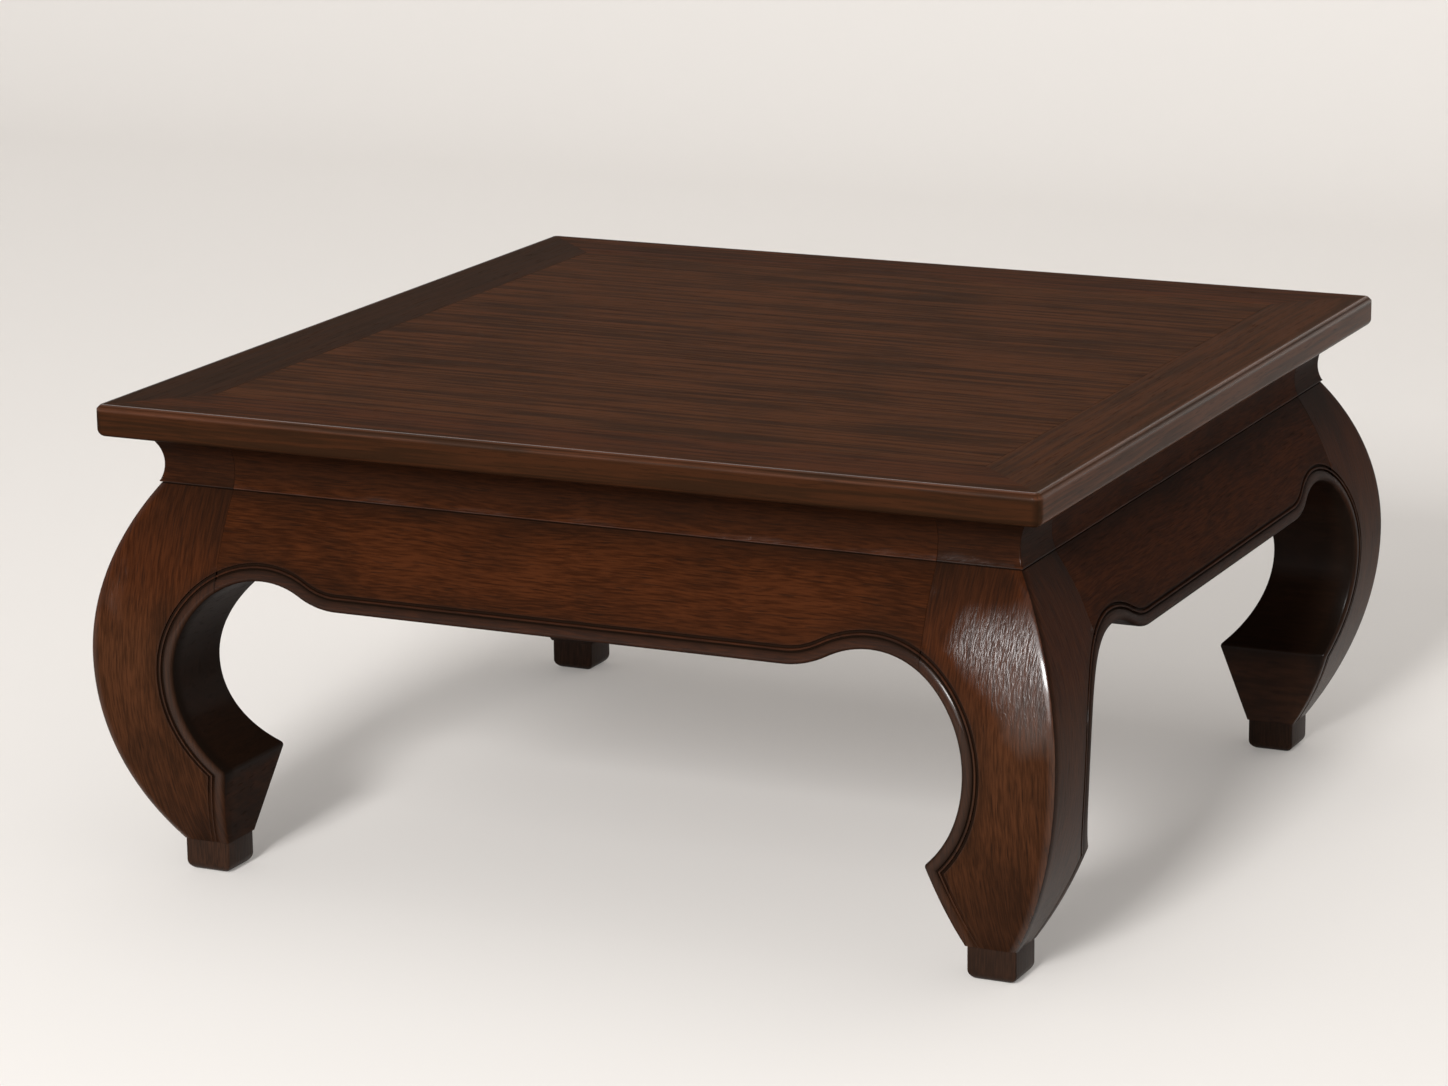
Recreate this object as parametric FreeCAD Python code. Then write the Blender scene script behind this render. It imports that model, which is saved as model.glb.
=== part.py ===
import FreeCAD, Part
import math
import os

# Low square opium table: a mitred frame with a flush panel, a coved waist, bulging aprons and
# hoof legs sawn from two sides, each standing on a small block foot.
# Millimetres. The origin is on the floor under the middle of the top, +X right, +Y back, +Z up.
# "In" is a distance towards the middle of the table: from the edge of the top for the frame and
# the panel, and from the outermost line of the bulge for the waist and all below it.

# Overall sizes
top_width = 800.0
top_depth = 800.0
bulge_past_sides = 13.0
bulge_inside_front = 1.0
table_height = 395.0

# Frame of the top
top_thick = 26.0
frame_width = 70.0
top_corner_radius = 7.5
top_chamfer = 3.4
top_arris_radius = 1.0
under_round_radius = 6.5
frame_tenon_width = 24.0
frame_tenon_thick = 9.0
frame_tenon_in = 22.0
frame_tenon_cover = 14.0
frame_tenon_rise = 8.0
frame_peg_width = 8.0
frame_peg_length = 20.0
frame_peg_in = 24.0

# Panel boards and the dovetailed battens under them
board_count = 4
panel_thick = 14.0
panel_tongue_thick = 7.0
panel_tongue_length = 9.0
panel_swell_room = 1.0
panel_edge_gap = 0.3
board_tongue_thick = 5.0
board_tongue_length = 6.0
batten_width = 40.0
batten_depth = 11.0
batten_in = 265.0
dovetail_depth = 4.0
dovetail_top_width = 26.0
dovetail_neck_width = 22.0
batten_tenon_width = 24.0
batten_tenon_thick = 6.0
batten_tenon_length = 9.0

# Waist
waist_height = 43.0
waist_in = 44.8
waist_lip = 1.2
waist_flare = 12.0
waist_cove_depth = 3.4
waist_cove_share = 0.34
waist_thick = 18.0
waist_tongue_thick = 8.0
waist_tongue_height = 4.0

# Legs
belly_height_share = 0.54
ankle_in = 49.0
leg_narrow_in = 75.0
narrow_height_share = 0.49
hoof_tip_short = 1.0
hoof_tip_height = 98.0
hoof_tip_radius = 5.0
tip_chamfer_share = 0.6
heel_in = 91.5
leg_seam_in = 112.0
leg_arris_chamfer = 1.5
leg_tenon_width = 15.0
leg_tenon_height = 10.0
leg_tenon_near_in = 55.5
leg_tenon_far_in = 92.0

# Aprons
apron_depth = 82.0
apron_thick = 30.0
arch_reach = 78.0
scallop_drop = 17.0
scallop_run = 69.0
apron_tenon_thick = 9.0
apron_tenon_height = 36.0
apron_tenon_drop = 20.0
apron_tenon_length = 25.0
apron_peg_width = 7.0
apron_peg_spacing = 16.0
apron_peg_past = 2.0

# Bead along the inner edge of the legs and the lower edge of the aprons
bead_width = 8.6
bead_chamfer = 2.5
line_width = 2.0
line_depth = 1.0

# Block feet
foot_height = 27.0
foot_width = 40.0
foot_round_radius = 8.0
foot_corner_radius = 2.0
foot_peg_width = 13.0
foot_peg_in_foot = 16.0
foot_peg_in_leg = 25.0

# Clearances, how far a cut runs past the wood, and how near counts as touching
fit_gap = 0.15
end_gap = 0.5
overrun = 20.0
touch = 0.01

# Size over the bulge of the legs
base_width = top_width + 2 * bulge_past_sides
base_depth = top_depth - 2 * bulge_inside_front

# Heights above the floor
top_under = table_height - top_thick
panel_under = table_height - panel_thick
apron_top = top_under - waist_height
apron_edge = apron_top - apron_depth
arch_top = apron_edge + scallop_drop
belly_z = foot_height + belly_height_share * (apron_top - foot_height)
narrow_z = hoof_tip_height + narrow_height_share * (arch_top - hoof_tip_height)

# Places measured in from the outermost line of the bulge
waist_foot_in = waist_in - waist_lip
waist_head_in = waist_foot_in - waist_flare
waist_back_in = waist_foot_in + waist_thick
waist_tongue_in = waist_foot_in + (waist_thick - waist_tongue_thick) / 2
foot_centre_in = (ankle_in + heel_in) / 2
hoof_tip_in = leg_seam_in - hoof_tip_short
arch_in = leg_narrow_in + arch_reach
scallop_end_in = arch_in + scallop_run

origin = FreeCAD.Vector(0, 0, 0)
left_to_right = FreeCAD.Vector(1, 0, 0)
front_to_back = FreeCAD.Vector(0, 1, 0)
upward = FreeCAD.Vector(0, 0, 1)
corner_diagonal = FreeCAD.Vector(1, -1, 0)


# Outlines

def at(inward, height):
    """A point of an upright outline, given by its distance in and its height."""
    return FreeCAD.Vector(inward, 0, height)


def straight(start, end):
    return Part.LineSegment(start, end).toShape()


def arc(centre, start, end):
    """The arc of under half a turn about a centre, from start to end."""
    middle = (start + end) / 2 - centre
    middle.Length = (start - centre).Length
    return Part.Arc(start, centre + middle, end).toShape()


def bow_radius(run, swell):
    """Radius of an arc that leaves its tangent by the swell over the run."""
    return (run ** 2 + swell ** 2) / (2 * swell)


def face_of(edges):
    return Part.Face(Part.Wire(edges))


def outline(points, radii):
    """A closed outline whose corners are rounded by the radii, or left sharp at zero."""
    edges = []
    ends = []
    count = len(points)
    for index in range(count):
        corner = points[index]
        back = (points[index - 1] - corner).normalize()
        ahead = (points[(index + 1) % count] - corner).normalize()
        half_angle = back.getAngle(ahead) / 2
        reach = radii[index] / math.tan(half_angle)
        middle = (back + ahead).normalize()
        centre = corner + middle * (radii[index] / math.sin(half_angle))
        ends.append((corner + back * reach, corner + ahead * reach, centre))
    for index in range(count):
        start, end, centre = ends[index]
        if radii[index] > 0:
            edges.append(arc(centre, start, end))
        edges.append(straight(end, ends[(index + 1) % count][0]))
    return face_of(edges)


def box(low, high):
    """A box between two corners, each given as across, deep and up."""
    size = [b - a for a, b in zip(low, high)]
    return Part.makeBox(*size, FreeCAD.Vector(*low))


def post(width, centre_x, centre_y, low, high):
    """An upright square bar."""
    half = width / 2
    return box((centre_x - half, centre_y - half, low), (centre_x + half, centre_y + half, high))


def swapped(shape):
    """The shape seen from the table's other face: across and deep change places."""
    return shape.mirror(origin, corner_diagonal)


# Curves of the legs and aprons

upper_bow_radius = bow_radius(apron_top - belly_z, waist_in)
lower_bow_radius = bow_radius(belly_z - foot_height, ankle_in)
hollow_radius = bow_radius(narrow_z - hoof_tip_height, hoof_tip_in - leg_narrow_in)
hollow_centre = at(leg_narrow_in + hollow_radius, narrow_z)
scallop_radius = (scallop_run ** 2 + scallop_drop ** 2) / (4 * scallop_drop)

# The arch is a three-centred curve whose two arcs meet at 45 degrees
arch_rise = arch_top - narrow_z
diagonal_share = math.sin(math.pi / 4)
rest_share = 1 - diagonal_share
spread_share = diagonal_share ** 2 - rest_share ** 2
spring_radius = (diagonal_share * arch_rise - rest_share * arch_reach) / spread_share
crown_radius = (diagonal_share * arch_reach - rest_share * arch_rise) / spread_share
spring_centre = at(leg_narrow_in + spring_radius, narrow_z)
crown_centre = at(arch_in, arch_top - crown_radius)

heel = at(heel_in, foot_height)
hoof_tip = at(hoof_tip_in, hoof_tip_height)
heel_line = (hoof_tip - heel).normalize()
heel_normal = FreeCAD.Vector(-heel_line.z, 0, heel_line.x)


def face_in(height):
    """How far in the bulging face lies at a height."""
    radius = upper_bow_radius if height > belly_z else lower_bow_radius
    return radius - math.sqrt(radius ** 2 - (height - belly_z) ** 2)


def bulge_edges(shift):
    """The bulging face from the apron's top down to the foot, moved in by the shift."""
    head = at(waist_in + shift, apron_top)
    belly = at(shift, belly_z)
    ankle = at(ankle_in + shift, foot_height)
    upper = arc(at(upper_bow_radius + shift, belly_z), head, belly)
    lower = arc(at(lower_bow_radius + shift, belly_z), belly, ankle)
    return [upper, lower]


def tip_corner(offset):
    """Where the hoof's back and the leg's hollow meet, both moved into the wood."""
    start = heel + heel_normal * offset - hollow_centre
    along = start.dot(heel_line)
    apart = start.dot(start) - (hollow_radius + offset) ** 2
    return hollow_centre + start - heel_line * (along + math.sqrt(along ** 2 - apart))


def tip_edges():
    """The hoof's back, its rounded tip and the hollow above it."""
    centre = tip_corner(hoof_tip_radius)
    low = centre - heel_normal * hoof_tip_radius
    high = hollow_centre + (centre - hollow_centre).normalize() * hollow_radius
    narrow = at(leg_narrow_in, narrow_z)
    return [straight(heel, low), arc(centre, low, high), arc(hollow_centre, high, narrow)]


def arch_edges(offset, half_span):
    """The arch, the scallop and the straight edge up to mid span, moved into the wood."""
    narrow = at(leg_narrow_in - offset, narrow_z)
    turn = (at(-diagonal_share, diagonal_share)) * (spring_radius + offset)
    haunch = spring_centre + turn
    crown = at(arch_in, arch_top + offset)
    hollow_end = at(arch_in, arch_top - scallop_radius)
    swell_end = at(scallop_end_in, apron_edge + scallop_radius)
    sway = (swell_end - hollow_end).normalize() * (scallop_radius + offset)
    flat = at(scallop_end_in, apron_edge + offset)
    return [
        arc(spring_centre, narrow, haunch),
        arc(crown_centre, haunch, crown),
        arc(hollow_end, crown, hollow_end + sway),
        arc(swell_end, hollow_end + sway, flat),
        straight(flat, at(half_span, apron_edge + offset)),
    ]


def side_outline(half_span):
    """One half of a side of the table below the waist: a leg and half an apron."""
    edges = tip_edges() + arch_edges(0, half_span)
    edges.append(straight(at(half_span, apron_edge), at(half_span, apron_top)))
    edges.append(straight(at(half_span, apron_top), at(waist_in, apron_top)))
    edges += bulge_edges(0)
    edges.append(straight(at(ankle_in, foot_height), heel))
    return face_of(edges)


def ribbon_edges(offset, half_span):
    """The hoof, leg and apron edge moved into the wood, starting below the hoof."""
    corner = tip_corner(offset)
    start = heel + heel_normal * offset - heel_line * overrun
    narrow = at(leg_narrow_in - offset, narrow_z)
    hoof = [straight(start, corner), arc(hollow_centre, corner, narrow)]
    return hoof + arch_edges(offset, half_span)


def bead_line(half_span):
    """Cutter for the line that sets off the bead on one face, from a corner to mid span."""
    low = foot_height - overrun
    skin = bulge_edges(line_depth) + [
        straight(at(ankle_in + line_depth, foot_height), at(ankle_in + line_depth, low)),
        straight(at(ankle_in + line_depth, low), at(-overrun, low)),
        straight(at(-overrun, low), at(-overrun, apron_top)),
        straight(at(-overrun, apron_top), at(waist_in + line_depth, apron_top)),
    ]
    skin = swapped(face_of(skin).extrude(front_to_back * half_span))
    near = ribbon_edges(bead_width, half_span)
    far = ribbon_edges(bead_width + line_width, half_span)
    ends = [
        straight(near[0].Vertexes[0].Point, far[0].Vertexes[0].Point),
        straight(near[-1].Vertexes[-1].Point, far[-1].Vertexes[-1].Point),
    ]
    ribbon = face_of(Part.__sortEdges__(near + far + ends))
    ribbon.translate(front_to_back * -overrun)
    return ribbon.extrude(front_to_back * (waist_in + line_depth + overrun)).common(skin)


# Joints that two pieces share, with a gap that is zero for the wood and a clearance for its hole

def frame_tenon(gap):
    """The tenon of a front or back member at one corner."""
    low = top_under + frame_tenon_rise
    return box(
        (frame_tenon_cover - gap, frame_tenon_in - gap, low - gap),
        (frame_width, frame_tenon_in + frame_tenon_width + gap, low + frame_tenon_thick + gap),
    )


def frame_peg(gap):
    """The peg that locks a frame tenon, driven from below."""
    centre = frame_tenon_in + frame_tenon_width / 2
    high = top_under + frame_peg_length + gap
    return post(frame_peg_width + 2 * gap, frame_peg_in, centre, top_under, high)


def leg_tenons(gap):
    """The two tenons on a leg's head, one for each frame member that meets above it."""
    high = top_under + leg_tenon_height + gap
    tenon = post(leg_tenon_width + 2 * gap, leg_tenon_far_in, leg_tenon_near_in, top_under, high)
    return [tenon, swapped(tenon)]


def foot_peg(gap):
    """The square peg between a leg and its block foot."""
    low = foot_height - foot_peg_in_foot - gap
    high = foot_height + foot_peg_in_leg + gap
    return post(foot_peg_width + 2 * gap, foot_centre_in, foot_centre_in, low, high)


apron_tenon_high = apron_top - apron_tenon_drop
apron_tenon_low = apron_tenon_high - apron_tenon_height
apron_tenon_centre_in = (face_in(apron_tenon_high) + face_in(apron_tenon_low) + apron_thick) / 2
apron_peg_z = (apron_tenon_high + apron_tenon_low) / 2
apron_peg_in = leg_seam_in - apron_tenon_length / 2
apron_peg_end_in = apron_tenon_centre_in - apron_tenon_thick / 2 - apron_peg_past

# The pegs of the front and back aprons pass over those of the side aprons
over = 1
under = -1


def apron_tenon(gap):
    """The tenon at one end of an apron, in the leg beside it."""
    half = apron_tenon_thick / 2 + gap
    return box(
        (leg_seam_in - apron_tenon_length - gap, apron_tenon_centre_in - half, apron_tenon_low - gap),
        (leg_seam_in, apron_tenon_centre_in + half, apron_tenon_high + gap),
    )


def apron_peg(level, gap):
    """A peg driven from inside the leg through an apron's tenon, above or below its middle."""
    half = apron_peg_width / 2 + gap
    middle = apron_peg_z + level * apron_peg_spacing / 2
    return box(
        (apron_peg_in - half, apron_peg_end_in - gap, middle - half),
        (apron_peg_in + half, leg_seam_in, middle + half),
    )


def waist_tongues(span, gap):
    """The tongues along a waist board, up into the frame and down into the apron."""
    rise = waist_tongue_height + gap
    return box(
        (leg_seam_in, waist_tongue_in - gap, apron_top - rise),
        (span - leg_seam_in, waist_tongue_in + waist_tongue_thick + gap, top_under + rise),
    )


def batten_tenon(gap):
    """The tenons of a batten, as one bar that runs past both ends of its body."""
    half = batten_tenon_width / 2 + gap
    middle = panel_under - batten_depth / 2
    rise = batten_tenon_thick / 2 + gap
    reach = top_depth / 2 - frame_width + batten_tenon_length + gap
    return box((-half, -reach, middle - rise), (half, reach, middle + rise))


def dovetail(gap):
    """The dovetail along the top of a batten, and the slot for it under the panel."""
    reach = top_depth / 2 - frame_width
    neck = dovetail_neck_width / 2 + gap
    head = dovetail_top_width / 2 + gap
    top = panel_under + dovetail_depth + gap
    points = [at(-neck, panel_under), at(neck, panel_under), at(head, top), at(-head, top)]
    key = outline(points, [0] * len(points)).extrude(front_to_back * (2 * reach))
    key.translate(front_to_back * -reach)
    return key


# Copies of a piece round the table, from its place at the front left corner

corner_names = ("front_left", "front_right", "back_left", "back_right")
side_names = ("front", "back", "left", "right")
top_corner = FreeCAD.Vector(-top_width / 2, -top_depth / 2, 0)
base_corner = FreeCAD.Vector(-base_width / 2, -base_depth / 2, 0)


def in_corners(shape, corner):
    """The shape in all four corners of the top or base, in the order of the corner names."""
    first = shape.copy()
    first.translate(corner)
    second = first.mirror(origin, left_to_right)
    return [first, second, first.mirror(origin, front_to_back), second.mirror(origin, front_to_back)]


def on_sides(wide, deep):
    """A front piece and a side piece on all sides of the base, in the order of the side names."""
    front = wide.copy()
    front.translate(base_corner)
    left = swapped(deep)
    left.translate(base_corner)
    return [front, front.mirror(origin, front_to_back), left, left.mirror(origin, left_to_right)]


# Legs

def edges_where(shape, test):
    """The edges of a shape whose two ends and middle all pass the test."""
    found = []
    for edge in shape.Edges:
        spots = [vertex.Point for vertex in edge.Vertexes]
        spots.append(edge.valueAt((edge.FirstParameter + edge.LastParameter) / 2))
        if all(test(spot) for spot in spots):
            found.append(edge)
    return found


def on_bulge(inward, height):
    return abs(inward - face_in(height)) < touch


def on_bead_arris(spot):
    """True along the front face's inner edge: the hoof, the arch and the apron's lower edge."""
    return on_bulge(spot.y, spot.z) and spot.x - spot.y > touch and spot.z < arch_top + touch


def on_side_bead_arris(spot):
    return on_bead_arris(FreeCAD.Vector(spot.y, spot.x, spot.z))


def on_outer_arris(spot):
    return on_bulge(spot.y, spot.z) and on_bulge(spot.x, spot.z)


def eased_bead(shape, arrises):
    """The shape with its bead eased, by no more than the hoof's tip has room for."""
    return shape.makeChamfer(min(bead_chamfer, tip_chamfer_share * hoof_tip_radius), arrises)


def leg_stock():
    """The leg below the waist, sawn to one outline from the front and from the side."""
    sawn = side_outline(scallop_end_in + overrun)
    sawn.translate(front_to_back * -overrun)
    sawn = sawn.extrude(front_to_back * (leg_seam_in + overrun))
    stock = sawn.common(swapped(sawn)).Solids[0]
    arrises = edges_where(stock, on_bead_arris) + edges_where(stock, on_side_bead_arris)
    stock = eased_bead(stock, arrises)
    return stock.makeChamfer(leg_arris_chamfer, edges_where(stock, on_outer_arris))


def waist_outline(back_in):
    """The section of the waist: a cove in front that flares to a lip, and a flat back."""
    head = at(waist_head_in, top_under)
    foot = at(waist_foot_in, apron_top)
    hollow = foot + at(waist_cove_depth, waist_cove_share * waist_height)
    back_low = at(back_in, apron_top)
    back_high = at(back_in, top_under)
    return face_of([
        Part.Arc(head, hollow, foot).toShape(),
        straight(foot, back_low),
        straight(back_low, back_high),
        straight(back_high, head),
    ])


def leg_shape():
    """A whole leg, with its piece of the waist, its tenons, mortises and incised lines."""
    leg = leg_stock()
    line = bead_line(scallop_end_in + overrun)
    leg = leg.cut([line, swapped(line)])
    block = waist_outline(leg_seam_in).extrude(front_to_back * leg_seam_in)
    leg = leg.fuse(block.common(swapped(block)))
    leg = leg.fuse(leg_tenons(0))
    mortise = apron_tenon(fit_gap)
    holes = [mortise, swapped(mortise), foot_peg(fit_gap)]
    holes += [apron_peg(over, fit_gap), swapped(apron_peg(under, fit_gap))]
    return leg.cut(holes)


# Aprons and waist boards

def apron_half(half_span):
    """Half an apron, from the seam with the leg to the middle of the side."""
    front = bulge_edges(0)
    back = bulge_edges(apron_thick)
    top = straight(at(waist_in, apron_top), at(waist_in + apron_thick, apron_top))
    low = straight(at(ankle_in, foot_height), at(ankle_in + apron_thick, foot_height))
    bent = swapped(face_of(Part.__sortEdges__(front + back + [top, low])).extrude(front_to_back * half_span))
    sawn = side_outline(half_span)
    sawn.translate(front_to_back * -overrun)
    sawn = sawn.extrude(front_to_back * (leg_seam_in + overrun))
    between = box((leg_seam_in, -overrun, 0), (half_span, leg_seam_in, table_height))
    half = bent.common(sawn).common(between).Solids[0]
    half = eased_bead(half, edges_where(half, on_bead_arris))
    return half.cut(bead_line(half_span)).fuse(apron_tenon(0))


def apron_shape(span, peg_level):
    """An apron with its tenons, the groove for the waist board and the peg holes."""
    half = apron_half(span / 2).cut(apron_peg(peg_level, fit_gap))
    middle = FreeCAD.Vector(span / 2, 0, 0)
    whole = half.fuse(half.mirror(middle, left_to_right)).removeSplitter()
    return whole.cut(waist_tongues(span, fit_gap))


def waist_shape(span):
    """A waist board between two legs, with a tongue along its top and its foot."""
    board = swapped(waist_outline(waist_back_in).extrude(front_to_back * (span - 2 * leg_seam_in)))
    board.translate(left_to_right * leg_seam_in)
    return board.fuse(waist_tongues(span, 0)).removeSplitter()


# Frame of the top

def edge_profile(width):
    """The section across the top: chamfered above, with a large round below."""
    half = width / 2
    points = [
        at(-half, top_under),
        at(half, top_under),
        at(half, table_height - top_chamfer),
        at(half - top_chamfer, table_height),
        at(top_chamfer - half, table_height),
        at(-half, table_height - top_chamfer),
    ]
    radii = [under_round_radius] * 2 + [top_arris_radius] * 4
    return outline(points, radii)


def plan(points, radius):
    """An outline in plan, drawn at the underside of the top and raised through it."""
    corners = [FreeCAD.Vector(x, y, top_under) for x, y in points]
    return outline(corners, [radius] * len(corners)).extrude(upward * top_thick)


def moulded_slab(width, length):
    """A slab that runs from front to back with the moulded edge along both its sides."""
    slab = edge_profile(width).extrude(front_to_back * length)
    slab.translate(front_to_back * (-length / 2))
    return slab


def rounded_plan():
    """The plan of the whole top, with its corners rounded."""
    half_width = top_width / 2
    half_depth = top_depth / 2
    corners = [
        (-half_width, -half_depth),
        (half_width, -half_depth),
        (half_width, half_depth),
        (-half_width, half_depth),
    ]
    return plan(corners, top_corner_radius)


def member_cuts():
    """All that is cut into the frame from inside and from below."""
    groove = panel_tongue_length + panel_swell_room
    half_width = top_width / 2 - frame_width + groove
    half_depth = top_depth / 2 - frame_width + groove
    high = panel_under + panel_tongue_thick + fit_gap
    cuts = [box((-half_width, -half_depth, panel_under), (half_width, half_depth, high))]
    cuts += in_corners(frame_peg(fit_gap), top_corner)
    for tenon in leg_tenons(fit_gap):
        cuts += in_corners(tenon, base_corner)
    cuts += on_sides(waist_tongues(base_width, fit_gap), waist_tongues(base_depth, fit_gap))
    for side in (-1, 1):
        mortise = batten_tenon(fit_gap)
        mortise.translate(left_to_right * side * (top_width / 2 - batten_in))
        cuts.append(mortise)
    return cuts


def front_member(cuts):
    """The front member of the frame, mitred, with a tenon at each end."""
    half_width = top_width / 2
    front = -top_depth / 2
    back = front + frame_width
    corners = [
        (-half_width, front),
        (half_width, front),
        (half_width - frame_width, back),
        (frame_width - half_width, back),
    ]
    tenons = in_corners(frame_tenon(0), top_corner)[:2]
    member = swapped(moulded_slab(top_depth, top_width)).common(plan(corners, 0))
    return member.common(rounded_plan()).fuse(tenons).removeSplitter().cut(cuts)


def left_member(cuts):
    """The left member of the frame, mitred, with a mortise at each end."""
    left = -top_width / 2
    half_depth = top_depth / 2
    corners = [
        (left, -half_depth),
        (left + frame_width, frame_width - half_depth),
        (left + frame_width, half_depth - frame_width),
        (left, half_depth),
    ]
    mortises = in_corners(frame_tenon(fit_gap), top_corner)
    member = moulded_slab(top_width, top_depth).common(plan(corners, 0))
    return member.common(rounded_plan()).cut(cuts + mortises)


# Panel boards and battens

def panel_board(index):
    """One board of the panel, tongued into its neighbours and into the frame."""
    half_width = top_width / 2 - frame_width - panel_edge_gap
    half_depth = top_depth / 2 - frame_width - panel_edge_gap
    board_width = 2 * half_depth / board_count
    low = index * board_width - half_depth
    high = low + board_width
    first = index == 0
    last = index == board_count - 1
    edge = panel_tongue_length + panel_edge_gap
    tongue_low = low - edge if first else low
    tongue_high = high + edge if last else high
    ledge = panel_under + panel_tongue_thick
    board = box((-half_width, low, panel_under), (half_width, high, table_height))
    board = board.fuse(box(
        (-half_width - edge, tongue_low, panel_under),
        (half_width + edge, tongue_high, ledge),
    ))
    key_low = panel_under + (panel_thick - board_tongue_thick) / 2
    key_high = key_low + board_tongue_thick
    if not last:
        board = board.fuse(box(
            (-half_width, high, key_low),
            (half_width, high + board_tongue_length, key_high),
        ))
    if not first:
        board = board.cut(box(
            (-top_width / 2, low, key_low - fit_gap),
            (top_width / 2, low + board_tongue_length + end_gap, key_high + fit_gap),
        ))
    slots = []
    for side in (-1, 1):
        slot = dovetail(fit_gap)
        slot.translate(left_to_right * side * (top_width / 2 - batten_in))
        slots.append(slot)
    return board.removeSplitter().cut(slots)


def batten_shape():
    """A batten that runs from front to back under the panel, in the middle of the table."""
    half_width = batten_width / 2
    reach = top_depth / 2 - frame_width
    bar = box((-half_width, -reach, panel_under - batten_depth), (half_width, reach, panel_under))
    return bar.fuse([dovetail(0), batten_tenon(0)]).removeSplitter()


# Feet

def foot_shape():
    """A block foot with a rounded underside and a hole for its peg."""
    low = foot_centre_in - foot_width / 2
    high = foot_centre_in + foot_width / 2
    points = [at(low, 0), at(high, 0), at(high, foot_height), at(low, foot_height)]
    section = outline(points, [foot_round_radius] * 2 + [0] * 2).extrude(front_to_back * (high + overrun))
    corners = [
        FreeCAD.Vector(low, low, 0),
        FreeCAD.Vector(high, low, 0),
        FreeCAD.Vector(high, high, 0),
        FreeCAD.Vector(low, high, 0),
    ]
    block = outline(corners, [foot_corner_radius] * 4).extrude(upward * foot_height)
    return block.common(section).common(swapped(section)).cut(foot_peg(fit_gap))


# The whole table

def save(name, shape):
    shape.exportStep("parts/" + name + ".step")


os.makedirs("parts", exist_ok=True)

cuts = member_cuts()
front_frame = front_member(cuts)
left_frame = left_member(cuts)
save("top_frame_front", front_frame)
save("top_frame_back", front_frame.mirror(origin, front_to_back))
save("top_frame_left", left_frame)
save("top_frame_right", left_frame.mirror(origin, left_to_right))

for index in range(board_count):
    save("panel_board_" + str(index + 1), panel_board(index))

for name, side in (("panel_batten_left", -1), ("panel_batten_right", 1)):
    batten = batten_shape()
    batten.translate(left_to_right * side * (top_width / 2 - batten_in))
    save(name, batten)

for name, leg in zip(corner_names, in_corners(leg_shape(), base_corner)):
    save("leg_" + name, leg)
for name, foot in zip(corner_names, in_corners(foot_shape(), base_corner)):
    save("foot_" + name, foot)
waists = on_sides(waist_shape(base_width), waist_shape(base_depth))
for name, board in zip(side_names, waists):
    save("waist_" + name, board)
aprons = on_sides(apron_shape(base_width, over), apron_shape(base_depth, under))
for name, board in zip(side_names, aprons):
    save("apron_" + name, board)

pegs = in_corners(apron_peg(over, 0), base_corner)
pegs += in_corners(swapped(apron_peg(under, 0)), base_corner)
save("apron_pegs", Part.makeCompound(pegs))
save("foot_pegs", Part.makeCompound(in_corners(foot_peg(0), base_corner)))
save("frame_pegs", Part.makeCompound(in_corners(frame_peg(0), top_corner)))
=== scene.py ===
import math

import bpy
from mathutils import Matrix, Vector


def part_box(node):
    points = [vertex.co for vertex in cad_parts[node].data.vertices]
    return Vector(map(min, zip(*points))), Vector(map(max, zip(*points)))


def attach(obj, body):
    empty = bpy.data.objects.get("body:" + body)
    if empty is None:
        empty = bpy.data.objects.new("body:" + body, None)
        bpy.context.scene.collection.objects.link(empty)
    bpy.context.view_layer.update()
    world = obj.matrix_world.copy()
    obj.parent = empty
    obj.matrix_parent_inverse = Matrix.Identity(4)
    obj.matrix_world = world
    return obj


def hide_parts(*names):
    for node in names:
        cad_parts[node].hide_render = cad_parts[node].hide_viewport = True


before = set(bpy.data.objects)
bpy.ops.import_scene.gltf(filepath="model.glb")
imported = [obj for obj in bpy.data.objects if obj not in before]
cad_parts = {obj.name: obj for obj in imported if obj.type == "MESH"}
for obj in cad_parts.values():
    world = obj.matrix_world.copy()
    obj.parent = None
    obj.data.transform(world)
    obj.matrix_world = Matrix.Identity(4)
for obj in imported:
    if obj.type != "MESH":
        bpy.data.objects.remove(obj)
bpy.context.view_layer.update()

# A low opium table in dark stained, satin lacquered hardwood. All lengths are in metres.
# "In" is a distance towards the middle of the table: from the edge of the top for the frame,
# and from the outermost line of the bulge for the waist and all below it.

# Places that the frame gives
leg_low, leg_high = (Vector(corner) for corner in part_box("leg_front_left"))
foot_low, foot_high = (Vector(corner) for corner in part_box("foot_front_left"))
apron_low, apron_high = (Vector(corner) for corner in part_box("apron_front"))
rail_low, rail_high = (Vector(corner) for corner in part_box("top_frame_front"))
side_rail_low = Vector(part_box("top_frame_left")[0])

base_corner = Vector((leg_low.x, leg_low.y, 0))
base_half_width = -leg_low.x
base_half_depth = -leg_low.y
top_half_width = -side_rail_low.x
top_half_depth = -rail_low.y
rail_width = rail_high.y - rail_low.y
top_level = rail_high.z
top_under = rail_low.z
apron_top = apron_high.z
apron_edge = apron_low.z
foot_height = foot_high.z
leg_seam_in = leg_high.x - leg_low.x

# Edge of the top, with lines a little in from its arrises that bound their coats
rail_corner_radius = 0.0075
rail_chamfer = 0.0034
rail_upper_arris_radius = 0.0021
rail_lower_arris_radius = 0.0005
rail_under_radius = 0.0065
coat_line_in = 0.0021
under_share = 0.25
arris_reach_share = 0.5

# Waist
waist_in = 0.0448
waist_lip = 0.0012
waist_lip_height = 0.0008
quirk_depth = 0.0005
quirk_height = 0.0012
waist_flare = 0.012
waist_cove_depth = 0.0034
waist_cove_share = 0.34
waist_thick = 0.018

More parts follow.
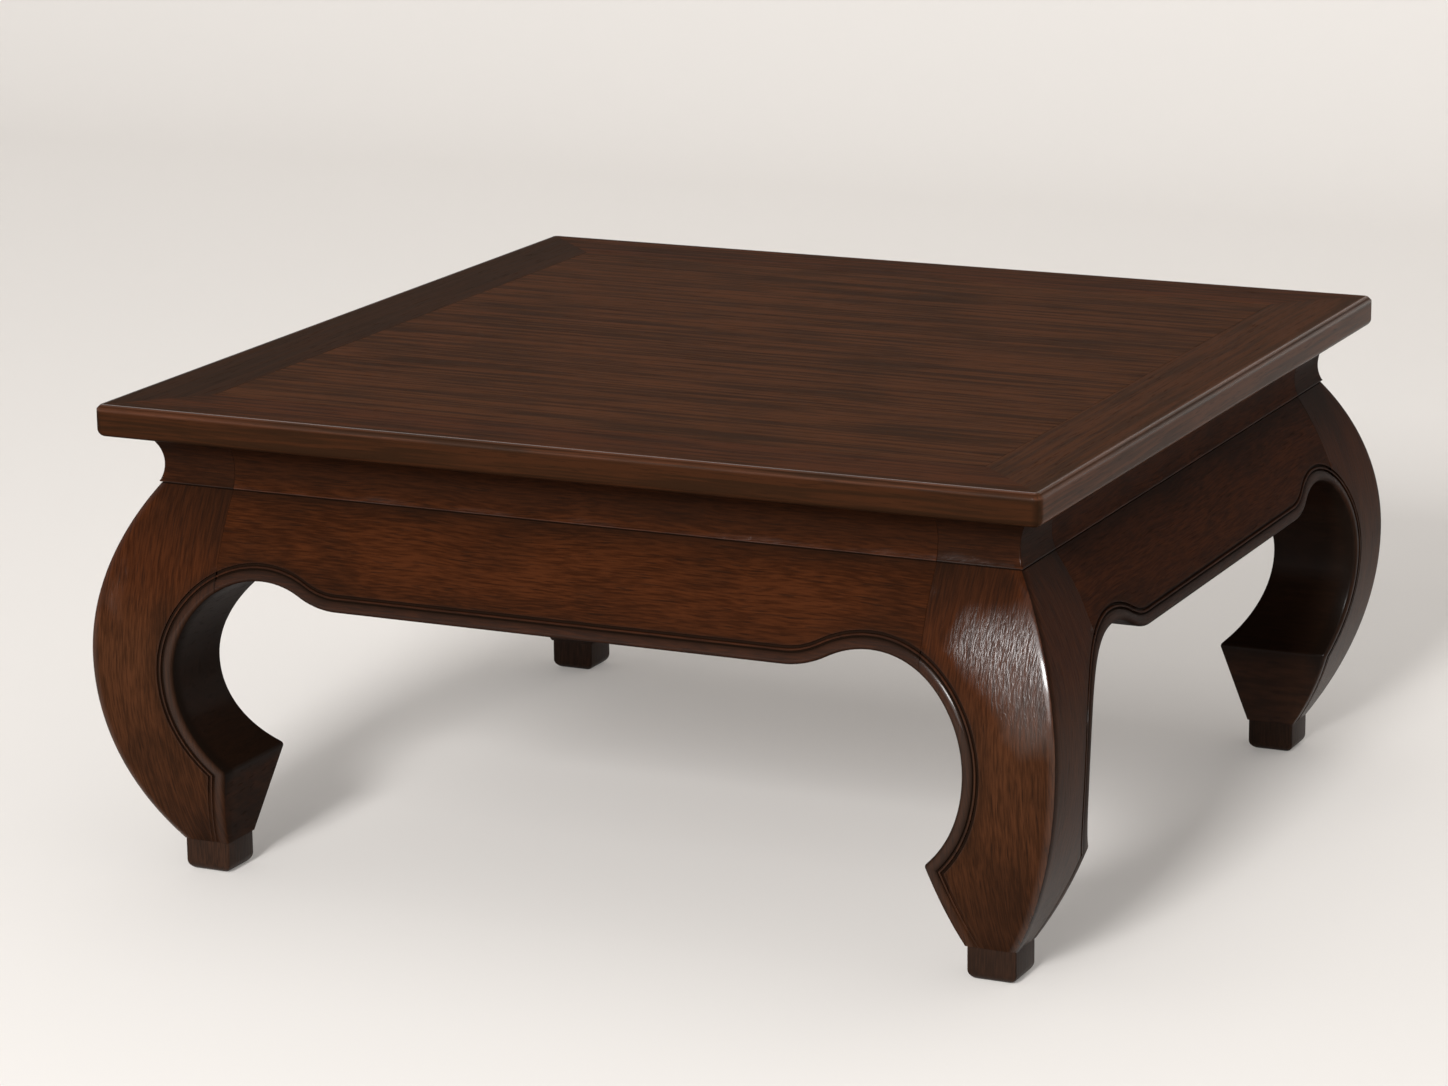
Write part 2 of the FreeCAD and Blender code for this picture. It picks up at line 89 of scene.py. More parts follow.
# Bulge of the legs and aprons, and the legs' sawn edge
belly_height_share = 0.54
ankle_in = 0.049
leg_narrow_in = 0.075
narrow_height_share = 0.49
hoof_tip_short = 0.001
hoof_tip_height = 0.098
hoof_tip_radius = 0.004
heel_in = 0.0915
leg_arris_radius = 0.0015
leg_soft_radius = 0.020
leg_soft_angle = math.radians(16)
waist_arris_radius = 0.0010
leg_back_radius = 0.002

# Aprons
apron_thick = 0.030
arch_reach = 0.078
scallop_drop = 0.017
scallop_run = 0.069
seam_ease = 0.0004

# Bead and the two lines that set it off, which fade out down the hoof's back to a share of their depth
bead_width = 0.0092
bead_crest_share = 0.42
bead_edge_depth = 0.0032
bead_valley_depth = 0.0013
outer_line_width = 0.0026
inner_line_width = 0.0014
line_spacing = 0.0012
line_depth = 0.0018
groove_floor_shares = (0.15, 0.85)
heel_cut_share = 0.35

# Block feet
foot_round_radius = 0.008
foot_arris_radius = 0.0018

# Coats, as shares of darkening, of rippled polish and of smooth gleam; most of the darkening is painted
# shade
plain_coat = (0, 0, 0)
lower_arris_coat = (0, 0, 0.8)
# The chamfer is darkened with painted shade between its two bright arrises
chamfer_coat = (0.7, 0, 0)
# The field and the ridge beside the bead's lines are only darker
field_edge_coat = (0.35, 0, 0)
ridge_coat = (0.4, 0, 0.35)
# The floors of the grooves and quirks are darkened with painted shade
groove_coat = (1, 0, 0)
# The inner faces, the hoof's back and the aprons' backs are darkened with painted shade
inner_face_coat = (0.95, 0, 0.08)
heel_coat = (0.55, 0, 0)
hidden_coat = (0.2, 0, 0)
foot_coat = (0, 0, 0.15)
# The front rail's edge is darkened with painted shade, and so is the underside of its edge
front_rail_coats = {
    "top": (0, 0, 0),
    "edge": (0.7, 0, 0),
    "arris": (0, 0, 1),
    "under": (1, 0, 0),
}
# The side rails' tops are darkened against their lighter stain; the underside of their edge carries
# painted shade
side_rail_coats = {
    "top": (0.3, 0, 0),
    "edge": (0, 0, 0.3),
    "arris": (0, 0, 0.5),
    "under": (0.4, 0, 0.45),
}

# Coats of the legs' outer arris, as shares of darkening and gleam; the side arris and the quirk's arris
# carry painted shade
front_arris_coat = (0, 1)
side_arris_coat = (0.9, 0)
quirk_arris_coat = (1, 0)

# Painted shade and gleam round the bead, darker towards its sides, and how steeply the gleam falls off
# from its crest
bead_shade = 0.55
bead_rim_shade = 0.65
bead_gleam = 0.7
bead_valley_fall = 2
bead_edge_fall = 6

# Darkening: dark seams; painted shade on the upright corners of the top, on the waist and on the heads
# of the legs, and painted shadow in a band under the waist's joint; a darker left rail; legs darker
# towards their feet
rail_corner_shade = 1
left_rail_darkening = 0.8
seam_grime = 0.8
under_joint_shadow = 0.8
head_shade = 0.85
head_shade_floor_share = 0.6
hoof_darkening = 0.5
waist_shade = 0.62
darkening_reach = 0.022
head_shade_reach = 0.09
hoof_darkening_reach = 0.16

# Polish and gleam on the lip of the waist, and on the head and the shoulder of the legs
lip_polish = 0.58
lip_gleam = 0.4
lip_reach = 0.018
head_polish = 0.5
head_polish_level = 0.305
head_polish_reach = 0.060
shoulder_level = 0.250
shoulder_spread = 0.074
sheen_edge_power = 1.8
leg_polish_shares = {"front_left": 0.3, "front_right": 1.0, "back_left": 0.6, "back_right": 0.6}

# The left and right sides are duller, apart from a gleam low down on their legs, and their waist boards
# carry less painted shade
side_polish_share = 0.12
side_waist_shade_share = 0.35
side_gleam_share = 0.25
side_gleam = 0.5
side_gleam_reach = 0.34

# How finely each stretch is divided
heel_steps = 8
tip_steps = 5
hollow_steps = 18
spring_steps = 14
crown_steps = 8
scallop_steps = 9
seam_steps = 12
cove_steps = 12
field_steps = 12
inner_steps = 6
bead_steps = 10
arris_steps = 5
round_steps = 8

# How near counts as touching, and the angle up to which faces shade as one
near = 0.000004
smooth_angle = math.radians(32)

# Curves that follow from the sizes
arch_top = apron_edge + scallop_drop
belly_level = foot_height + belly_height_share * (apron_top - foot_height)
narrow_level = hoof_tip_height + narrow_height_share * (arch_top - hoof_tip_height)
hoof_tip_in = leg_seam_in - hoof_tip_short
arch_in = leg_narrow_in + arch_reach
scallop_end_in = arch_in + scallop_run
waist_foot_in = waist_in - waist_lip
waist_back_in = waist_foot_in + waist_thick
waist_height = top_under - apron_top


def bow_radius(run, swell):
    """Radius of an arc that leaves its tangent by the swell over the run."""
    return (run ** 2 + swell ** 2) / (2 * swell)


def circle_through(first, second, third):
    """Centre and radius of the circle through three points."""
    one = second - first
    two = third - first
    turn = 2 * (one.x * two.y - one.y * two.x)
    across = (two.y * one.length_squared - one.y * two.length_squared) / turn
    along = (one.x * two.length_squared - two.x * one.length_squared) / turn
    centre = first + Vector((across, along))
    return centre, (first - centre).length


upper_bow_radius = bow_radius(apron_top - belly_level, waist_in)
lower_bow_radius = bow_radius(belly_level - foot_height, ankle_in)
hollow_radius = bow_radius(narrow_level - hoof_tip_height, hoof_tip_in - leg_narrow_in)
hollow_centre = Vector((leg_narrow_in + hollow_radius, narrow_level))
scallop_radius = (scallop_run ** 2 + scallop_drop ** 2) / (4 * scallop_drop)
hollow_end = Vector((arch_in, arch_top - scallop_radius))
swell_end = Vector((scallop_end_in, apron_edge + scallop_radius))

arch_rise = arch_top - narrow_level
diagonal_share = math.sin(math.pi / 4)
rest_share = 1 - diagonal_share
spread_share = diagonal_share ** 2 - rest_share ** 2
spring_radius = (diagonal_share * arch_rise - rest_share * arch_reach) / spread_share
crown_radius = (diagonal_share * arch_reach - rest_share * arch_rise) / spread_share
spring_centre = Vector((leg_narrow_in + spring_radius, narrow_level))
crown_centre = Vector((arch_in, arch_top - crown_radius))

heel = Vector((heel_in, foot_height))
heel_line = (Vector((hoof_tip_in, hoof_tip_height)) - heel).normalized()
heel_normal = Vector((-heel_line.y, heel_line.x))

cove_foot = Vector((waist_foot_in, apron_top))
cove_hollow = cove_foot + Vector((waist_cove_depth, waist_cove_share * waist_height))
cove_head = cove_foot + Vector((-waist_flare, waist_height))
cove_centre, cove_radius = circle_through(cove_foot, cove_hollow, cove_head)


def face_in(level):
    """How far in the bulging face lies at a level."""
    radius = upper_bow_radius if level > belly_level else lower_bow_radius
    return radius - math.sqrt(radius ** 2 - (level - belly_level) ** 2)


def cove_in(level):
    """How far in the hollow face of the waist lies at a level."""
    return cove_centre.x + math.sqrt(cove_radius ** 2 - (level - cove_centre.y) ** 2)


def bearing(vector):
    """The angle of a direction, from nought to a whole turn."""
    return math.atan2(vector.y, vector.x) % (2 * math.pi)


def arc_points(centre, radius, start, end, steps):
    """Points along an arc, without the one it starts from."""
    points = []
    for step in range(1, steps + 1):
        angle = start + (end - start) * step / steps
        points.append(centre + radius * Vector((math.cos(angle), math.sin(angle))))
    return points


def spaced(start, end, steps):
    """Values from a start to an end, with both of them."""
    return [start + (end - start) * step / steps for step in range(steps + 1)]


def fading(distance, reach):
    """One at a place, falling to nought at a reach from it."""
    return max(1 - abs(distance) / reach, 0) ** 2


# Lower edge of the legs and aprons, moved into the wood by an offset

def tip_corner(offset):
    """Where the hoof's back and the leg's hollow meet."""
    start = heel + heel_normal * offset - hollow_centre
    along = start.dot(heel_line)
    apart = start.dot(start) - (hollow_radius + offset) ** 2
    return hollow_centre + start - heel_line * (along + math.sqrt(along ** 2 - apart))


def seam_angle(offset, inward):
    """Where the crown of the arch passes a distance in."""
    return math.acos((inward - arch_in) / (crown_radius + offset))


def leg_edge(offset):
    """The leg's inner edge from the heel, round the hoof's tip and up to the seam."""
    tip_centre = tip_corner(hoof_tip_radius)
    room = max(hoof_tip_radius - offset, 0)
    if room == 0:
        tip_centre = tip_corner(offset)
    inward = bearing(-heel_normal) - 2 * math.pi
    upward = bearing(hollow_centre - tip_centre)
    low = tip_centre - heel_normal * room
    start = heel + heel_normal * offset
    start = start - heel_line * ((start.y - foot_height) / heel_line.y)
    points = [start.lerp(low, share) for share in spaced(0, 1, heel_steps)]
    points += arc_points(tip_centre, room, inward, upward, tip_steps)
    hollow_start = bearing(points[-1] - hollow_centre)
    points += arc_points(hollow_centre, hollow_radius + offset, hollow_start, math.pi, hollow_steps)
    haunch = math.pi * 3 / 4
    points += arc_points(spring_centre, spring_radius + offset, math.pi, haunch, spring_steps)
    seam = seam_angle(offset, leg_seam_in)
    return points + arc_points(crown_centre, crown_radius + offset, haunch, seam, crown_steps)


def apron_lower_edge(offset, half_span):
    """The apron's lower edge from the seam over the arch and the scallop to mid span."""
    seam = seam_angle(offset, leg_seam_in)
    eased = seam_angle(offset, leg_seam_in + seam_ease)
    sway = bearing(swell_end - hollow_end)
    radius = crown_radius + offset
    points = arc_points(crown_centre, radius, seam, seam, 1)
    points += arc_points(crown_centre, radius, eased, eased, 1)
    points += arc_points(crown_centre, radius, eased, math.pi / 2, crown_steps)
    points += arc_points(hollow_end, scallop_radius + offset, math.pi / 2, sway, scallop_steps)
    swell_start = sway + math.pi
    swell_stop = math.pi * 3 / 2
    points += arc_points(swell_end, scallop_radius - offset, swell_start, swell_stop, scallop_steps)
    return points + [Vector((half_span, apron_edge + offset))]


def groove_lines(start, width):
    """The floor of an incised line."""
    return [(start - share * width, line_depth, groove_coat) for share in groove_floor_shares]


def bead_section():
    """Offset, depth and coat of each line along the bead, from the plain field to the edge."""
    inner_line = bead_width + inner_line_width
    ridge = inner_line + line_spacing
    outer_line = ridge + outer_line_width
    lines = [(outer_line + line_spacing, 0, field_edge_coat), (outer_line, 0, ridge_coat)]
    lines += groove_lines(outer_line, outer_line_width)
    lines += [(ridge, 0, ridge_coat), (inner_line, 0, ridge_coat)]
    lines += groove_lines(inner_line, inner_line_width)
    crest = bead_crest_share * bead_width
    for angle in spaced(0, math.pi, bead_steps):
        outside = angle < math.pi / 2
        reach = bead_width - crest if outside else crest
        depth = bead_valley_depth if outside else bead_edge_depth
        drop = 1 - math.sin(angle)
        fall = bead_valley_fall if outside else bead_edge_fall
        # The bead is darkened with painted shade, darker still towards its sides
        coat = (bead_shade + bead_rim_shade * drop, 0, bead_gleam * (1 - drop) ** fall)
        lines.append((crest + reach * math.cos(angle), depth * drop, coat))
    return lines


# Mesh making

def start_fresh():
    """Leaves edit mode and deselects everything."""
    if bpy.context.object and bpy.context.object.mode != "OBJECT":
        bpy.ops.object.mode_set(mode="OBJECT")
    bpy.ops.object.select_all(action="DESELECT")


def take(piece):
    """Makes a piece the only one selected and the active one."""
    start_fresh()
    piece.select_set(True)
    bpy.context.view_layer.objects.active = piece


def edit_all(piece):
    """Opens a piece in edit mode with all of it selected."""
    take(piece)
    bpy.ops.object.mode_set(mode="EDIT")
    bpy.ops.mesh.select_all(action="SELECT")


def done():
    """Leaves edit mode."""
    bpy.ops.object.mode_set(mode="OBJECT")


def block(low, high):
    """A block between two corners, its place and size in its mesh."""
    start_fresh()
    bpy.ops.mesh.primitive_cube_add(size=1, location=(low + high) / 2, scale=high - low)
    bpy.ops.object.transform_apply(location=True, rotation=True, scale=True)
    return bpy.context.object


def pick_points(piece, test):
    """Opens a piece in edit mode with the points selected whose place passes a test."""
    edit_all(piece)
    bpy.ops.mesh.select_mode(type="VERT")
    bpy.ops.mesh.select_all(action="DESELECT")
    done()
    for vertex in piece.data.vertices:
        vertex.select = test(vertex.co)
    bpy.ops.object.mode_set(mode="EDIT")


def eased_edges(piece, test, radius, segments):
    """Rounds the edges of a piece whose lower and higher ends pass a test."""
    edit_all(piece)
    bpy.ops.mesh.select_mode(type="EDGE")
    bpy.ops.mesh.select_all(action="DESELECT")
    done()
    for edge in piece.data.edges:
        ends = [piece.data.vertices[index].co for index in edge.vertices]
        low, high = sorted(ends, key=lambda end: end.z)
        edge.select = test(low, high)
    bpy.ops.object.mode_set(mode="EDIT")
    bpy.ops.mesh.bevel(offset=radius, segments=segments, affect="EDGES")
    done()


def scored(piece, place, normal):
    """Divides the faces of a piece along a plane."""
    edit_all(piece)
    bpy.ops.mesh.bisect(plane_co=place, plane_no=normal)
    done()


def sawn(piece, place, normal):
    """Saws off what lies past a plane and closes the cut."""
    edit_all(piece)
    bpy.ops.mesh.bisect(plane_co=place, plane_no=normal, use_fill=True, clear_outer=True)
    done()
    return piece


# The first coat darkens the colour: mostly painted shade, and also dark seams
coat_names = ("shade_and_grime", "polish", "gleam")


def coated(piece, coats):
    """Gives each point of a piece its shares of darkening (mostly painted shade), polish and gleam."""
    for index, name in enumerate(coat_names):
        layer = piece.data.attributes.new(name, "FLOAT", "POINT")
        for vertex, coat in enumerate(coats):
            layer.data[vertex].value = coat[index]
    return piece


def lowered(piece, name, share):
    """Lowers one coat of a piece to a share of it."""
    for value in piece.data.attributes[name].data:
        value.value *= share


def dulled(piece, share):
    """Darkens a piece all over to at least a share."""
    for value in piece.data.attributes["shade_and_grime"].data:
        value.value = max(value.value, share)


def laid_grid(rows):
    """A grid whose rows are laid over the given points, each with its coat."""
    start_fresh()
    bpy.ops.mesh.primitive_grid_add(x_subdivisions=len(rows[0]) - 1, y_subdivisions=len(rows) - 1)
    grid = bpy.context.object
    spots = [spot for row in rows for spot in row]
    for vertex, (point, coat) in zip(grid.data.vertices, spots):
        vertex.co = point
    return coated(grid, [coat for point, coat in spots])


def copied(piece):
    """A copy of a piece with its own mesh."""
    take(piece)
    bpy.ops.object.duplicate()
    return bpy.context.object


def crossed(piece):
    """Turns a piece over the corner's diagonal: across and deep change places."""
    for vertex in piece.data.vertices:
        vertex.co = vertex.co.yxz
    return piece


def flipped(piece, scale, centre):
    """Mirrors a piece by a scale of minus one on some axes, about a centre."""
    edit_all(piece)
    bpy.ops.transform.resize(value=scale, center_override=centre)
    bpy.ops.mesh.normals_make_consistent(inside=False)
    done()
    return piece


def moved(piece, distance):
    """Moves the mesh of a piece."""
    edit_all(piece)
    bpy.ops.transform.translate(value=distance)
    done()
    return piece


def joined(first, second):
    """One closed piece from two halves."""
    take(first)
    second.select_set(True)
    bpy.ops.object.join()
    return closed(first)


def closed(piece):
    """Merges doubled points, fills holes, turns faces outwards and shades the rounds smooth."""
    edit_all(piece)
    bpy.ops.mesh.remove_doubles(threshold=near)
    bpy.ops.mesh.dissolve_degenerate(threshold=near)
    bpy.ops.mesh.select_all(action="SELECT")
    bpy.ops.mesh.fill_holes(sides=0)
    bpy.ops.mesh.select_all(action="SELECT")
    bpy.ops.mesh.normals_make_consistent(inside=False)
    done()
    bpy.ops.object.shade_smooth_by_angle(angle=smooth_angle)
    return piece


def stands_for(piece, node, material):
    """Names a piece after the node that it replaces and gives it its finish."""
    piece.name = "seen_" + node
    piece.data.materials.clear()
    piece.data.materials.append(material)
    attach(piece, "root")
    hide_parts(node)


# Legs

def eased_corner(face, radius, soft_radius, level):
    """Points from the corner's diagonal over a tight arris and a gentle round, each with a share
    of one on the arris that falls to nought where the round ends."""
    diagonal = math.pi * 5 / 4
    straight = math.pi * 3 / 2
    turn = straight - leg_soft_angle
    excess = soft_radius - radius
    centre = face + soft_radius - excess * math.cos(leg_soft_angle)
    arris_centre = Vector((centre, centre))
    soft_centre = arris_centre - excess * Vector((math.cos(turn), math.sin(turn)))
    points = arc_points(arris_centre, radius, diagonal, diagonal, 1)
    points += arc_points(arris_centre, radius, diagonal, turn, arris_steps)
    shares = [1] * len(points)
    points += arc_points(soft_centre, soft_radius, turn, straight, arris_steps)
    shares += [1 - share for share in spaced(0, 1, arris_steps)[1:]]
    return [(point.to_3d() + Vector((0, 0, level)), share) for point, share in zip(points, shares)]


def shoulder_shine(level):
    """How well the lacquer is rubbed up on the shoulder of a leg."""
    return max(1 - ((level - shoulder_level) / shoulder_spread) ** 2, 0)


def leg_row(ribbon, face, radii, base_coat, edge_darkening, arris_coat):
    """One level of half a leg: the arris, the field, the ribbon of the bead, and the inner face."""
    edge = ribbon[0][0]
    level = edge.z
    shine = shoulder_shine(level)
    base_shade_and_grime, base_polish, gleam = base_coat
    arris_shade, arris_gleam = arris_coat
    row = []
    for point, share in eased_corner(face, *radii, level):
        shade_and_grime = base_shade_and_grime + share * (arris_shade - base_shade_and_grime)
        row.append((point, (shade_and_grime, shine, gleam + share * (arris_gleam - gleam))))
    field_start = row[-1][0].x
    field_end = edge.x - seam_ease
    for share in spaced(0, 1, field_steps)[1:]:
        across = field_start + share * (field_end - field_start)
        head_share = head_shade_floor_share + (1 - head_shade_floor_share) * share
        # The field is darker beside the bead's lines, and painted shade darkens it under the waist
        # towards the head
        shade_and_grime = max(
            edge_darkening * fading(field_end - across, darkening_reach),
            head_shade * fading(apron_top - level, head_shade_reach) * head_share,
            base_shade_and_grime,
        )
        head_shine = head_polish * share * fading(level - head_polish_level, head_polish_reach)
        polish = max(shine * (1 - share ** sheen_edge_power), head_shine, base_polish)
        row.append((Vector((across, face, level)), (shade_and_grime, polish, gleam)))
    row += ribbon
    inner = ribbon[-1][0]
    corner = inner.x - leg_back_radius
    # The inner face and the hoof's back are darkened with painted shade
    inner_coat = heel_coat if inner.z < hoof_tip_height - hoof_tip_radius else inner_face_coat
    for deep in spaced(inner.y, corner, inner_steps)[1:]:
        row.append((Vector((inner.x, deep, inner.z)), inner_coat))
    for angle in spaced(0, math.pi / 4, arris_steps)[1:]:
        across = corner + leg_back_radius * math.cos(angle)
        deep = corner + leg_back_radius * math.sin(angle)
        row.append((Vector((across, deep, inner.z)), inner_coat))
    return row


def beaded_rows(section, arris_coat):
    """The levels of half a leg that the bead passes, from the heel up to the seam with the apron."""
    radii = (leg_arris_radius, leg_soft_radius)
    edges = [leg_edge(offset) for offset, depth, coat in section]
    rows = []
    for index, station in enumerate(zip(*edges)):
        cut_share = heel_cut_share + (1 - heel_cut_share) * min(index / heel_steps, 1) ** 2
        ribbon = []
        for spot, (offset, depth, coat) in zip(station, section):
            place = Vector((spot.x, face_in(spot.y) + cut_share * depth, spot.y))
            ribbon.append((place, tuple(cut_share * layer for layer in coat)))
        level = station[0].y
        # Legs grow darker towards their feet
        coat = (hoof_darkening * fading(level - foot_height, hoof_darkening_reach), 0, 0)
        rows.append(leg_row(ribbon, face_in(level), radii, coat, field_edge_coat[0], arris_coat))
    return rows


def head_lines(start, arris_coat):
    """Level, distance in, radii and coats of each line up a leg's head and its piece of waist."""
    leg_radii = (leg_arris_radius, leg_soft_radius)
    waist_radii = (waist_arris_radius, waist_arris_radius)
    lines = []
    for level in spaced(start, apron_top - quirk_height, seam_steps):
        lines.append((level, face_in(level), leg_radii, plain_coat, arris_coat))
    # The quirk under the waist's lip is darkened with painted shade
    quirk_foot = apron_top - quirk_height + near
    for level in (quirk_foot, apron_top):
        lines.append((level, waist_in + quirk_depth, waist_radii, groove_coat, quirk_arris_coat))
    for level, face, coat in waist_lines():
        waist_arris_coat = (coat[0], arris_coat[1] * fading(level - apron_top, lip_reach))
        lines.append((level, face, waist_radii, coat, waist_arris_coat))
    return lines


def leg_rows(arris_coat):
    """All levels of half a leg, from the heel to the head of its piece of waist."""
    section = bead_section()
    rows = beaded_rows(section, arris_coat)
    start = rows[-1][0][0].z + seam_ease
    for level, face, radii, coat, arris in head_lines(start, arris_coat):
        # Seams are dark, with painted shadow under the waist's joint
        seam_share = max(under_joint_shadow * fading(apron_top - level, darkening_reach), seam_grime)
        seam = (Vector((leg_seam_in, face + seam_ease, level)), (seam_share, 0, 0))
        rows.append(leg_row([seam] * len(section), face, radii, coat, 0, arris))
    return rows


def waist_lines():
    """Level, distance in and coat of each line along the waist, from its lip to its head."""
    lip_top = apron_top + waist_lip_height
    lip_end = lip_top + waist_lip_height
    lines = [(apron_top + near, waist_foot_in), (lip_top, waist_foot_in)]
    lines += [(level, cove_in(level)) for level in spaced(lip_end, top_under, cove_steps)]
    coated_lines = []
    for level, face in lines:
        # Painted shade under the top darkens the waist, fading out towards the lip
        flare = fading(level - apron_top, lip_reach)
        gleam = 0 if level > lip_top + near else lip_gleam
        coated_lines.append((level, face, (waist_shade * (1 - flare), lip_polish * flare, gleam)))
    return coated_lines


def whole_leg():
    """A leg with its piece of the waist, from two halves that meet on the corner's diagonal."""
    half = laid_grid(leg_rows(front_arris_coat))
    side = crossed(laid_grid(leg_rows(side_arris_coat)))
    lowered(side, "polish", side_polish_share)
    lowered(side, "gleam", side_gleam_share)
    for vertex, value in zip(side.data.vertices, side.data.attributes["gleam"].data):
        value.value = max(value.value, side_gleam * fading(vertex.co.z, side_gleam_reach))
    return moved(joined(half, side), base_corner)


# Aprons

def apron_row(ribbon):
    """One section of an apron: its top, its face, the ribbon of the bead, its underside and back."""
    edge, edge_coat = ribbon[0]
    inner = ribbon[-1][0]
    ease = edge.y - face_in(edge.z)
    row = [(Vector((edge.x, waist_in + apron_thick, apron_top)), plain_coat)]
    head = apron_top - quirk_height
    # The quirk under the waist is darkened with painted shade
    for level in (apron_top, head):
        row.append((Vector((edge.x, waist_in + quirk_depth, level)), groove_coat))
    for level in spaced(head, edge.z, field_steps)[:-1]:
        # The field is darker beside the bead's lines, and painted shadow darkens it under the waist's
        # joint
        low_fade = edge_coat[0] * fading(level - edge.z, darkening_reach)
        high_fade = under_joint_shadow * fading(apron_top - level, darkening_reach)
        row.append((Vector((edge.x, face_in(level) + ease, level)), (max(low_fade, high_fade), 0, 0)))
    row += ribbon
    # The apron's underside and back are darkened with painted shade
    for deep in spaced(inner.y, face_in(inner.z) + apron_thick, inner_steps)[1:]:
        row.append((Vector((inner.x, deep, inner.z)), inner_face_coat))
    for share in spaced(0, 1, field_steps)[1:]:
        level = inner.z + share * (apron_top - inner.z)
        across = inner.x + share * (edge.x - inner.x)
        row.append((Vector((across, face_in(level) + apron_thick, level)), hidden_coat))
    return row


def apron_rows(half_span):
    """The sections of half an apron, from its eased end at the seam to mid span."""
    section = bead_section()
    edges = [apron_lower_edge(offset, half_span) for offset, depth, coat in section]
    rows = []
    for index, station in enumerate(zip(*edges)):
        at_seam = index == 0
        ribbon = []
        for spot, (offset, depth, coat) in zip(station, section):
            deep = face_in(spot.y) + depth
            if at_seam:
                deep += seam_ease
                coat = (seam_grime, 0, 0)
            ribbon.append((Vector((spot.x, deep, spot.y)), coat))
        rows.append(apron_row(ribbon))
    return rows


def whole_apron(half_span):
    """An apron between two legs, from two halves that meet at mid span."""
    half = laid_grid(apron_rows(half_span))
    other = flipped(copied(half), (-1, 1, 1), (half_span, 0, 0))
    return joined(half, other)


# Waist boards

def whole_waist(half_span):
    """A board between two legs, hollowed along its face, with a lip at its foot."""
    end = 2 * half_span - leg_seam_in
    low = Vector((leg_seam_in, waist_foot_in, apron_top))
    board = block(low, Vector((end, waist_back_in, top_under)))
    lines = waist_lines()[1:]
    for level, face, coat in lines[:-1]:
        scored(board, (0, 0, level), (0, 0, 1))
    eased_edges(
        board,
        lambda one, two: two.y < waist_foot_in + near and one.z < two.z - near,
        seam_ease,
        1,
    )
    for level, face, coat in lines[1:]:
        pick_points(board, lambda place: abs(place.z - level) < near and place.y < waist_back_in - near)
        bpy.ops.transform.translate(value=(0, face - waist_foot_in, 0))
        done()
    coats = []
    for vertex in board.data.vertices:
        at_seam = min(vertex.co.x - leg_seam_in, end - vertex.co.x) < near
        nearest = min(lines, key=lambda line: abs(line[0] - vertex.co.z))
        coats.append((seam_grime, 0, 0) if at_seam else nearest[2])
    return closed(coated(board, coats))


# Frame of the top

def top_slab():
    """The whole top as one slab: corners rounded, chamfered above and rounded below."""
    low = Vector((-top_half_width, -top_half_depth, top_under))
    slab = block(low, Vector((top_half_width, top_half_depth, top_level)))
    chamfer_foot = top_level - rail_chamfer
    upper_tangent = rail_upper_arris_radius * math.tan(math.pi / 8)
    lower_tangent = rail_lower_arris_radius * math.tan(math.pi / 8)
    eased_edges(slab, lambda one, two: one.z < two.z - near, rail_corner_radius, round_steps)
    eased_edges(slab, lambda one, two: one.z > top_level - near, rail_chamfer, 1)
    eased_edges(slab, lambda one, two: one.z > top_level - near, upper_tangent, arris_steps)
    eased_edges(
        slab,
        lambda one, two: max(abs(one.z - chamfer_foot), abs(two.z - chamfer_foot)) < near,
        lower_tangent,
        arris_steps,
    )
    eased_edges(slab, lambda one, two: two.z < top_under + near, rail_under_radius, round_steps)
    scored(slab, (0, 0, chamfer_foot - coat_line_in), (0, 0, 1))
    scored(slab, (0, 0, chamfer_foot + coat_line_in), (0, 0, 1))
    pick_points(slab, lambda place: place.z > top_level - near)
    bpy.ops.mesh.inset(thickness=coat_line_in)
    done()
    return slab


def edge_distance(place):
    """How far a place lies in from the edge of the top, round its corners too."""
    across = top_half_width - abs(place.x)
    deep = top_half_depth - abs(place.y)
    if max(across, deep) > rail_corner_radius:
        return min(across, deep)
    centre = Vector((rail_corner_radius - across, rail_corner_radius - deep))
    return rail_corner_radius - centre.length


def corner_share(place):
    """One in the middle of an upright rounded corner of the top, nought at its ends and elsewhere."""
    across = rail_corner_radius + abs(place.x) - top_half_width
    deep = rail_corner_radius + abs(place.y) - top_half_depth
    if min(across, deep) < near:
        return 0
    return math.sin(2 * math.atan2(deep, across))


def rail_coats(rail, place_coats):
    """Bright arrises, a chamfer, upright corners and an underside darkened with painted shade, and the
    coats of the top and the edge.
    """
    chamfer_foot = top_level - rail_chamfer
    dark_under = top_under + under_share * rail_under_radius
    edge_darkening, edge_polish, edge_gleam = place_coats["edge"]
    coats = []
    for vertex in rail.data.vertices:
        inward = edge_distance(vertex.co)
        upper = Vector((inward - rail_chamfer, vertex.co.z - top_level))
        lower = Vector((inward, vertex.co.z - chamfer_foot))
        if upper.length < arris_reach_share * rail_upper_arris_radius:
            coats.append(place_coats["arris"])
        elif lower.length < rail_lower_arris_radius:
            coats.append(lower_arris_coat)
        elif vertex.co.z > top_level - near:
            coats.append(place_coats["top"])
        elif vertex.co.z > chamfer_foot:
            coats.append(chamfer_coat)
        # Painted shade along the underside of the edge
        elif vertex.co.z < dark_under and inward < rail_under_radius:
            coats.append(place_coats["under"])
        else:
            # Painted shade in the upright rounded corners of the top
            share = corner_share(vertex.co)
            shade_and_grime = edge_darkening + share * (rail_corner_shade - edge_darkening)
            coats.append((shade_and_grime, edge_polish, edge_gleam * (1 - share)))
    return coated(rail, coats)


